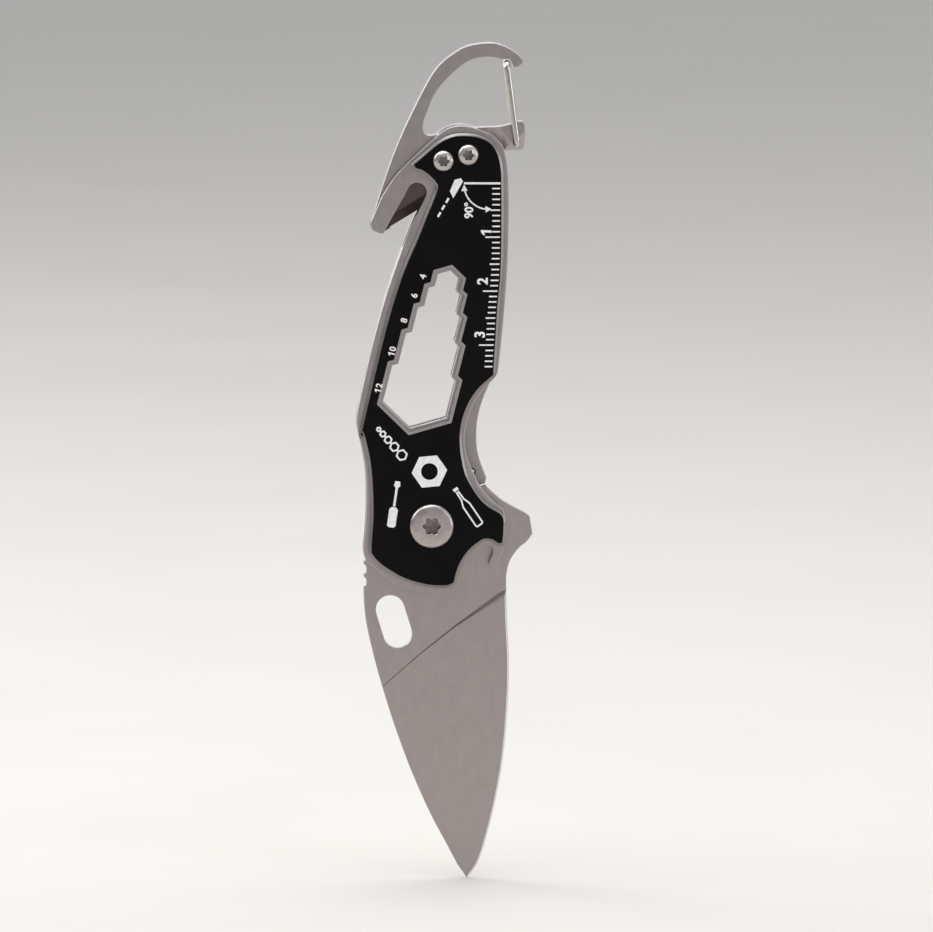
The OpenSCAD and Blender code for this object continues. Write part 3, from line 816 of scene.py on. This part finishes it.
half_wire = [(FOOT_END, 0.0)] + bend(wire_reach - foot_bend, foot_bend, foot_bend, -90)
half_wire += bend(wire_reach - TOP_BEND, run.length - TOP_BEND, TOP_BEND, 0)
wire_path = half_wire + [(-y, z) for y, z in reversed(half_wire)]
upright = run.normalized()
curve = bpy.data.curves.new("gate_wire", "CURVE")
curve.dimensions = "3D"
curve.bevel_depth = WIRE_D / 2 * MM
curve.bevel_resolution = 10   # as many points round the wire as a close view needs
curve.use_fill_caps = True
spline = curve.splines.new("POLY")
spline.points.add(len(wire_path) - 1)
for point, (y, z) in zip(spline.points, wire_path):
    place = gate_foot + upright * z
    point.co = (place.x * MM, y * MM, place.y * MM, 1)
wire_mesh = baked(put("gate_curve", curve))
face_outwards(wire_mesh)
wire_mesh.polygons.foreach_set("use_smooth", [True] * len(wire_mesh.polygons))
wire_mesh.set_sharp_from_angle(angle=WIRE_CREASE)
wire_mesh.materials.clear()
keep("gate_wire_finished", wire_mesh, [WIRE_STEEL], "gate", "spring_steel", "gate_wire")

# ---- prints on the black face ----
INK_THICK = 0.012       # mm that the ink stands proud
INK_SUNK = 0.008        # mm that it goes into the black, so that no gap shows
INK_STEP = 0.0006       # mm between the fronts of two neighbouring shapes
ink_front = -(FACE_Y + INK_THICK)
ink_back = -(FACE_Y - INK_SUNK)

# the outline of a figure one, 1 high, with its flag
FIGURE_ONE = [(-0.10, -0.5), (0.12, -0.5), (0.12, 0.5), (-0.04, 0.5), (-0.34, 0.28), (-0.34, 0.08),
              (-0.10, 0.23)]
FIGURE_STEP = 0.36      # half the step from one figure to the next, as a share of their height
FIGURE_WEIGHT = 0.028   # how much bolder than the plain font the figures are


class Print:
    """Shapes of white ink that lie on the black face, gathered into one piece."""

    def __init__(self, name, front):
        self.name = name
        self.front = front
        self.points = []
        self.faces = []

    def depths(self):
        """The next shape's front and back, a hair further out than the last one's, so none coincide."""
        self.front -= INK_STEP
        return self.front, ink_back

    def band(self, outer, inner):
        """A ring between two loops that have the same number of points."""
        count = len(outer)
        first = len(self.points)
        for depth in self.depths():
            for loop in (outer, inner):
                self.points += [(p.x, depth, p.y) for p in loop]
        for i in range(count):
            j = (i + 1) % count
            a, b, c, d = first, first + count, first + 2 * count, first + 3 * count
            self.faces += [(a + i, a + j, b + j, b + i), (d + i, d + j, c + j, c + i),
                           (a + j, a + i, c + i, c + j), (b + i, b + j, d + j, d + i)]

    def patch(self, loop):
        """A filled shape."""
        if area(loop) < 0:
            loop = loop[::-1]
        count = len(loop)
        first = len(self.points)
        for depth in self.depths():
            self.points += [(p.x, depth, p.y) for p in loop]
        self.faces.append(tuple(first + i for i in range(count)))
        self.faces.append(tuple(first + count + i for i in reversed(range(count))))
        for i in range(count):
            j = (i + 1) % count
            self.faces.append((first + j, first + i, first + count + i, first + count + j))

    def stroke(self, line, width):
        """A line of even width with square ends."""
        count = len(line)
        ways = [(line[min(i + 1, count - 1)] - line[max(i - 1, 0)]).normalized() for i in range(count)]
        sides = [left_of(way) * width / 2 for way in ways]
        self.patch([p - s for p, s in zip(line, sides)] + [p + s for p, s in zip(line, sides)][::-1])

    def outline(self, loop, width):
        """A line of even width round a closed shape."""
        if area(loop) < 0:
            loop = loop[::-1]
        self.band(loop, inset(loop, width))

    def write(self, text, centre, degrees, height):
        """Figures whose middle is at centre, turned by degrees from upright."""
        if text.startswith("1"):
            shift = Vector((FIGURE_STEP if len(text) > 1 else 0, 0))
            self.patch([centre + turned((Vector(p) - shift) * height, degrees) for p in FIGURE_ONE])
            text = text[1:]
            centre = centre + turned(shift * height, degrees)
        if not text:
            return
        font = bpy.data.curves.new("figures", "FONT")
        font.body = text
        font.extrude = 0.5
        font.offset = FIGURE_WEIGHT
        font.resolution_u = 6
        figures = bmesh.new()
        figures.from_mesh(baked(put("figures", font)))
        bmesh.ops.remove_doubles(figures, verts=figures.verts, dist=1e-5)
        low = Vector([min(v.co[i] for v in figures.verts) for i in (0, 1)])
        high = Vector([max(v.co[i] for v in figures.verts) for i in (0, 1)])
        scale = height / (high.y - low.y)
        first = len(self.points)
        front, back = self.depths()
        for vertex in figures.verts:
            place = centre + turned((vertex.co.xy - (low + high) / 2) * scale, degrees)
            self.points.append((place.x, front if vertex.co.z > 0 else back, place.y))
        figures.verts.index_update()
        self.faces += [tuple(first + v.index for v in face.verts) for face in figures.faces]
        figures.free()

    def done(self):
        """Makes the piece from its shapes."""
        mesh = bpy.data.meshes.new(self.name)
        mesh.from_pydata([[c * MM for c in p] for p in self.points], [], self.faces)
        mesh.validate()
        mesh.materials.append(INK)
        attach(put(self.name, mesh), "handle")


def drawn(points, centre, degrees):
    """Points of a small drawing, put at its centre and turned."""
    return [centre + turned(Vector(p), degrees) for p in points]


def on_circle(centre, radius, angle):
    """The point of a circle at an angle in radians."""
    return centre + Vector((math.cos(angle), math.sin(angle))) * radius


def ring_of(centre, radius, count, start=0.0):
    """Evenly spaced points of a circle."""
    return [on_circle(centre, radius, start + 2 * math.pi * i / count) for i in range(count)]


# numbers of the wrench sizes and of the ruler, in degrees from upright and mm high
WRENCH_FIGURES = (75, 1.25)
RULER_FIGURES = (88, 2.0)
ANGLE_FIGURES = (88, 1.75)
sizes = Print("wrench_numbers", ink_front)
for text, x, z in (("4", -1.6, 46.3), ("6", -3.2, 42.8), ("8", -5.1, 38.2), ("10", -7.3, 32.5),
                   ("12", -9.8, 25.7)):
    sizes.write(text, at(x, z), *WRENCH_FIGURES)
sizes.done()
numbers = Print("ruler_numbers", ink_front - 0.004)
for text, x, z in (("1", 10.1, 54.6), ("2", 9.4, 45.4), ("3", 8.9, 35.5)):
    numbers.write(text, at(x, z), *RULER_FIGURES)
numbers.done()

# a right angle with its arc, for bending wire to 90 degrees
angle_mark = Print("right_angle_mark", ink_front - 0.002)
angle_mark.stroke([at(6.0, 63.55), at(12.75, 63.5)], 0.4)
arc_centre = at(10.6, 63.3)
angle_mark.stroke([on_circle(arc_centre, 4.6, math.radians(a)) for a in range(186, 266, 4)], 0.28)
angle_mark.patch([at(6.0, 63.35), at(5.5, 62.1), at(6.65, 62.15)])
angle_mark.patch([at(11.1, 58.75), at(9.95, 59.3), at(10.0, 58.1)])
angle_mark.write("90°", at(6.87, 58.5), *ANGLE_FIGURES)
angle_mark.done()

# a hexagon nut as the emblem
emblem = Print("nut_emblem", ink_front)
nut_place = at(-0.4, 10.13)
nut_tilt = math.radians(5)
hexagon = ring_of(nut_place, 3.3, 6, nut_tilt)
outer = [hexagon[i // 8].lerp(hexagon[(i // 8 + 1) % 6], i % 8 / 8) for i in range(48)]
emblem.band(outer, ring_of(nut_place, 1.55, 48, nut_tilt))
emblem.done()

# small pictures in the place of words: a cord cutter, nuts by size, a driver and a bottle
marks = Print("use_marks", ink_front)
cut_mark = (at(3.22, 60.9), 60)
for start in (-4.1, -2.6, -1.1):
    marks.patch(drawn([(start, -0.2), (start + 1.0, -0.2), (start + 1.0, 0.2), (start, 0.2)], *cut_mark))
marks.patch(drawn([(0.3, -0.75), (3.9, -0.75), (4.2, -0.1), (3.4, 0.75), (1.1, 0.45)], *cut_mark))
bolt_place, bolt_turn = at(-7.54, 15.5), 131.5
reach = -4.2
for radius in (1.15, 1.0, 0.85, 0.7, 0.55):
    reach += radius
    spot = bolt_place + turned(Vector((reach, 0)), bolt_turn)
    marks.outline(ring_of(spot, radius, 6, math.radians(bolt_turn)), 0.32)
    reach += radius - 0.1
driver_mark = (at(-6.89, 4.04), 81.5)
marks.patch(drawn([(-4.3, -0.45), (-4.0, -0.8), (-0.9, -0.8), (-0.5, -0.35), (-0.5, 0.35), (-0.9, 0.8),
                   (-4.0, 0.8), (-4.3, 0.45)], *driver_mark))
marks.patch(drawn([(-0.35, -0.22), (3.1, -0.22), (3.5, -0.6), (4.35, -0.45), (4.35, 0.45), (3.5, 0.6),
                   (3.1, 0.22), (-0.35, 0.22)], *driver_mark))
bottle_mark = (at(6.6, 3.6), 124)
marks.outline(drawn([(-4.3, -0.6), (-4.0, -0.85), (0.3, -0.85), (1.6, -0.4), (3.3, -0.36), (3.3, 0.36),
                     (1.6, 0.4), (0.3, 0.85), (-4.0, 0.85), (-4.3, 0.6)], *bottle_mark), 0.3)
marks.patch(drawn([(3.5, -0.48), (4.1, -0.48), (4.1, 0.48), (3.5, 0.48)], *bottle_mark))
marks.done()

# The ruler's ticks stand on points along the black face's right side.
TICK_PITCH = 1.0        # mm
TICK_COUNT = 35
TICK_WIDTH = 0.27
RULER_TOP = 63.55       # mm above the pivot
RULER_BACK = 0.25       # mm from the chamfer's inner line to the ticks' right ends
face_loop = inset(face_loops[0], FACE_CHAMFER)


def face_side(height):
    """The right side of the black face at a height."""
    found = []
    for a, b in zip(face_loop, face_loop[1:] + face_loop[:1]):
        if (a.y - height) * (b.y - height) <= 0 and a.y != b.y:
            found.append(a.x + (b.x - a.x) * (height - a.y) / (b.y - a.y))
    return max(found)


TICK_SIZES = {"Millimetre tick": 1.45, "Half centimetre tick": 1.8, "Centimetre tick": 2.7,
              "Tick width": TICK_WIDTH, "Ink thickness": INK_THICK + INK_SUNK}


def tick_tree():
    """Puts a bar on each point, longer at each fifth and longer still at each tenth."""
    tree = bpy.data.node_groups.new("ruler_ticks", "GeometryNodeTree")
    tree.interface.new_socket("Geometry", in_out="INPUT", socket_type="NodeSocketGeometry")
    for name in TICK_SIZES:
        tree.interface.new_socket(name, in_out="INPUT", socket_type="NodeSocketFloat")
    tree.interface.new_socket("Ink", in_out="INPUT", socket_type="NodeSocketMaterial")
    tree.interface.new_socket("Geometry", in_out="OUTPUT", socket_type="NodeSocketGeometry")
    given = add(tree, "NodeGroupInput", {}, {}).outputs
    index = add(tree, "GeometryNodeInputIndex", {}, {})
    number = add(tree, "ShaderNodeMath", {"operation": "ADD"}, {0: index.outputs[0], 1: 1.0})
    lengths = given["Millimetre tick"]
    for every, name in ((5.0, "Half centimetre tick"), (10.0, "Centimetre tick")):
        rest = add(tree, "ShaderNodeMath", {"operation": "MODULO"}, {0: number.outputs[0], 1: every})
        hit = add(tree, "ShaderNodeMath", {"operation": "LESS_THAN"}, {0: rest.outputs[0], 1: 0.5})
        pick = add(tree, "GeometryNodeSwitch", {"input_type": "FLOAT"},
                   {"Switch": hit.outputs[0], "False": lengths, "True": given[name]})
        lengths = pick.outputs[0]
    bar = add(tree, "GeometryNodeMeshCube", {}, {"Size": (1, 1, 1)})
    moved = add(tree, "GeometryNodeTransform", {},
                {"Geometry": bar.outputs["Mesh"], "Translation": (-0.5, 0, 0)})
    size = add(tree, "ShaderNodeCombineXYZ", {},
               {"X": lengths, "Y": given["Ink thickness"], "Z": given["Tick width"]})
    bars = add(tree, "GeometryNodeInstanceOnPoints", {},
               {"Points": given["Geometry"], "Instance": moved.outputs[0], "Scale": size.outputs[0]})
    real = add(tree, "GeometryNodeRealizeInstances", {}, {"Geometry": bars.outputs[0]})
    inked = add(tree, "GeometryNodeSetMaterial", {}, {"Geometry": real.outputs[0], "Material": given["Ink"]})
    add(tree, "NodeGroupOutput", {}, {0: inked.outputs[0]})
    return tree


tick_points = []
for i in range(1, TICK_COUNT):
    height = RULER_TOP - i * TICK_PITCH + PIVOT.z
    tick_points.append(((face_side(height) - RULER_BACK) * MM, (ink_front + ink_back) / 2 * MM, height * MM))
tick_base = bpy.data.meshes.new("tick_points")
tick_base.from_pydata(tick_points, [], [])
ticks = put("tick_work", tick_base)
modifier = ticks.modifiers.new("ticks", "NODES")
modifier.node_group = tick_tree()
for socket in modifier.node_group.interface.items_tree:
    if socket.name in TICK_SIZES:
        modifier[socket.identifier] = TICK_SIZES[socket.name] * MM
    elif socket.name == "Ink":
        modifier[socket.identifier] = INK
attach(put("ruler_ticks", baked(ticks)), "handle")

# ---- floor, light and camera ----
FLOOR_HALF = 30.0       # metres from the middle to each side, so that it fills the view
floor_corners = [(x * FLOOR_HALF, y * FLOOR_HALF, cad_box[0].z) for x, y in
                 ((-1, -1), (1, -1), (1, 1), (-1, 1))]
floor_mesh = bpy.data.meshes.new("floor")
floor_mesh.from_pydata(floor_corners, [], [(0, 1, 2, 3)])
floor_mesh.materials.append(plaster_floor())
floor = put("floor", floor_mesh)

SKY_EVEN = 0.52                   # strength of the light from all round
SKY_SLOPE = (0.22, 0.05, 0.20)    # how much stronger it gets towards +X, +Y and +Z
GLOW = 1.1                        # strength that the glow behind the tool adds
GLOW_POWER = 6.0                  # higher keeps the glow closer to +Y

world = bpy.data.worlds.new("studio")
scene.world = world
world.use_nodes = True
sky = world.node_tree
background = sky.nodes["Background"]
background.inputs["Color"].default_value = linear("#f4f6fa")
way = add(sky, "ShaderNodeTexCoord", {}, {}).outputs["Generated"]
brightness = add(sky, "ShaderNodeVectorMath", {"operation": "DOT_PRODUCT"}, {0: way, 1: SKY_SLOPE})
lifted = add(sky, "ShaderNodeMath", {"operation": "ADD"}, {0: brightness.outputs["Value"], 1: SKY_EVEN})
# a soft glow low behind the tool draws thin bright lines along its upward edges
behind = add(sky, "ShaderNodeVectorMath", {"operation": "DOT_PRODUCT"}, {0: way, 1: (0, 1, 0)})
facing = add(sky, "ShaderNodeMath", {"operation": "MAXIMUM"}, {0: behind.outputs["Value"], 1: 0.0})
narrowed = add(sky, "ShaderNodeMath", {"operation": "POWER"}, {0: facing.outputs[0], 1: GLOW_POWER})
strength = add(sky, "ShaderNodeMath", {"operation": "MULTIPLY_ADD"},
               {0: narrowed.outputs[0], 1: GLOW, 2: lifted.outputs[0]})
sky.links.new(strength.outputs[0], background.inputs["Strength"])

look_at = Vector((-0.00341, 0, -0.07598))   # the middle of the view


def softbox(name, place, width, height, watts):
    """A flat soft light at place that faces the middle of the view."""
    light = bpy.data.lights.new(name, "AREA")
    light.shape = "RECTANGLE"
    light.size = width
    light.size_y = height
    light.energy = watts
    holder = put(name, light)
    holder.location = place
    holder.rotation_euler = (look_at - Vector(place)).to_track_quat("-Z", "Y").to_euler()


softbox("top_softbox", (-0.06, 0.08, 0.8), 1.1, 0.8, 9.0)
softbox("left_rear_softbox", (-0.95, 0.95, 0.35), 0.7, 0.9, 7.0)
softbox("front_softbox", (0.9, -1.0, 0.5), 0.6, 0.6, 1.5)
softbox("right_softbox", (1.05, -0.30, -0.02), 0.3, 0.5, 1.3)
softbox("left_softbox", (-1.0, -0.05, 0.62), 0.45, 0.7, 3.6)

CAMERA_TURN = math.radians(-3.0)
CAMERA_RISE = math.radians(6.0)
CAMERA_FAR = 3.0        # metres
FIELD = 0.1726          # metres of width that the view takes in at the tool
back_way = Vector((math.sin(CAMERA_TURN) * math.cos(CAMERA_RISE),
                   -math.cos(CAMERA_TURN) * math.cos(CAMERA_RISE), math.sin(CAMERA_RISE)))
camera = bpy.data.cameras.new("camera")
camera.lens = camera.sensor_width * CAMERA_FAR / FIELD
camera_holder = put("camera", camera)
camera_holder.location = look_at + back_way * CAMERA_FAR
camera_holder.rotation_euler = (-back_way).to_track_quat("-Z", "Y").to_euler()
scene.camera = camera_holder
scene.view_settings.view_transform = "Standard"
